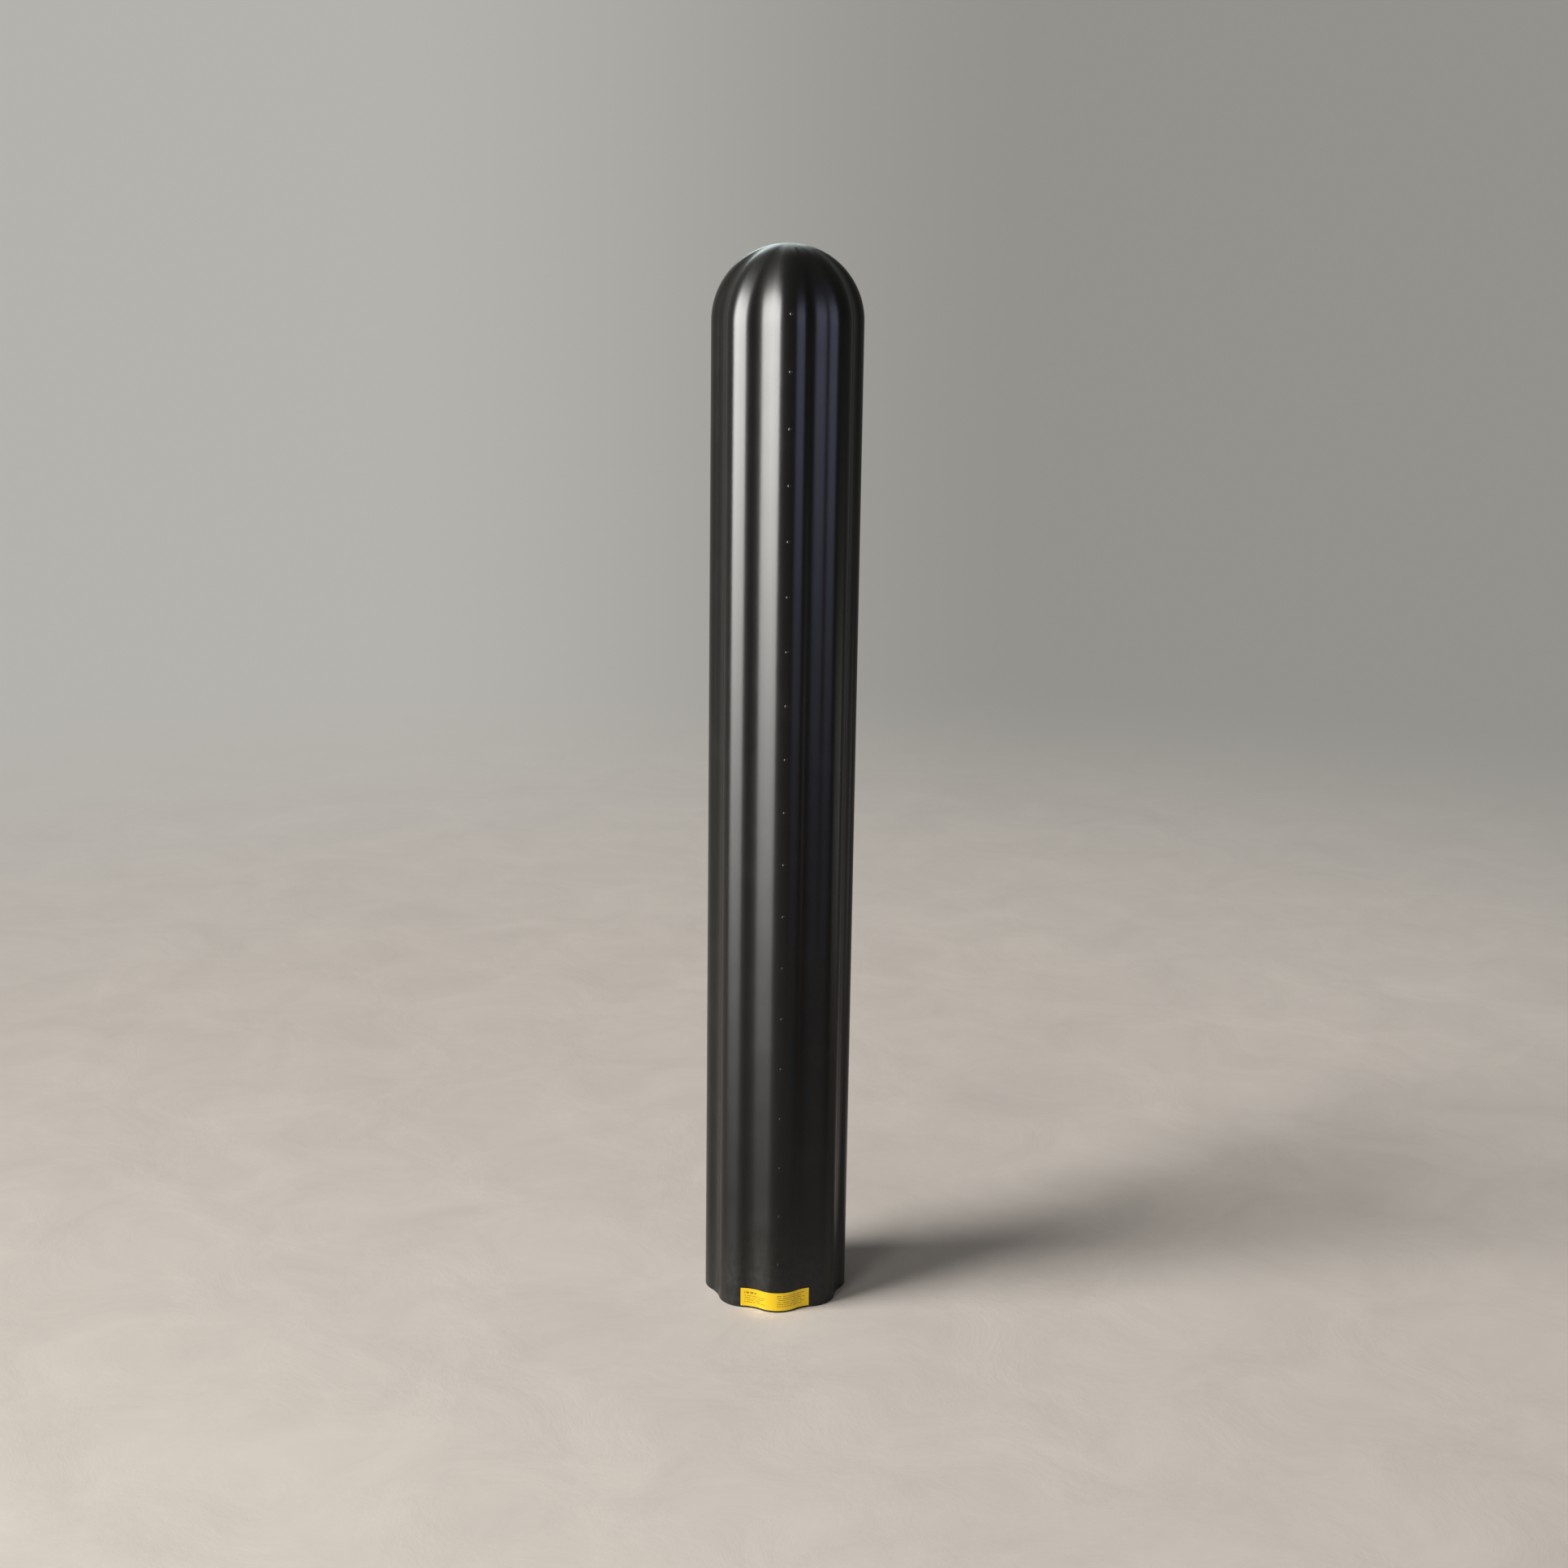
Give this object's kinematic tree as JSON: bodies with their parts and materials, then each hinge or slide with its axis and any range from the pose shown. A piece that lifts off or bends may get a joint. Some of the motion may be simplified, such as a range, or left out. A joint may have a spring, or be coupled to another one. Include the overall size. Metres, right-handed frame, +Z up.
{
  "type": "safety bollard",
  "caption": "Safety bollard: a fluted, dome-topped plastic cover that lifts straight off a capped steel pipe post with a ring flange in its foot.",
  "frame": {"origin": "centre of the foot, on the floor", "axes": "+Z up along the post's axis; the lobe with the trim pips and the label faces -Y"},
  "size_m": [0.21, 0.2108, 1.536],
  "materials": {
    "black_cover_plastic": "satin moulded polyethylene, black all through",
    "yellow_label_vinyl": "printed vinyl label, satin",
    "galvanised_steel": "hot-dip galvanised, dull spangle",
    "weld_metal": "weld bead, zinc sprayed",
    "zinc_plated_steel": "bright zinc plate",
    "black_rubber": "matte",
    "black_foam": "closed-cell foam tape, matte"
  },
  "bodies": {
    "post": {"post_pipe": "galvanised_steel", "base_flange": "galvanised_steel", "flange_weld_bead": "weld_metal", "cap_crossbar": "galvanised_steel", "crossbar_weld_beads": "weld_metal", "crossbar_nut": "zinc_plated_steel", "nut_weld_beads": "weld_metal", "cap_plate": "galvanised_steel", "cap_spigot_ring": "galvanised_steel", "spigot_weld_bead": "weld_metal", "cap_gasket": "black_rubber", "cap_bolt": "zinc_plated_steel", "cap_washer": "zinc_plated_steel", "cap_lock_washer": "zinc_plated_steel", "foam_ring_lower": "black_foam", "foam_ring_middle": "black_foam", "foam_ring_upper": "black_foam"},
    "cover": {"fluted_cover": "black_cover_plastic", "safety_label": "yellow_label_vinyl"}
  },
  "joints": [
    {"name": "cover_lift", "type": "slide", "parent": "post", "child": "cover", "axis": [0, 0, 1], "range_m": [0, 1.5]}
  ]
}
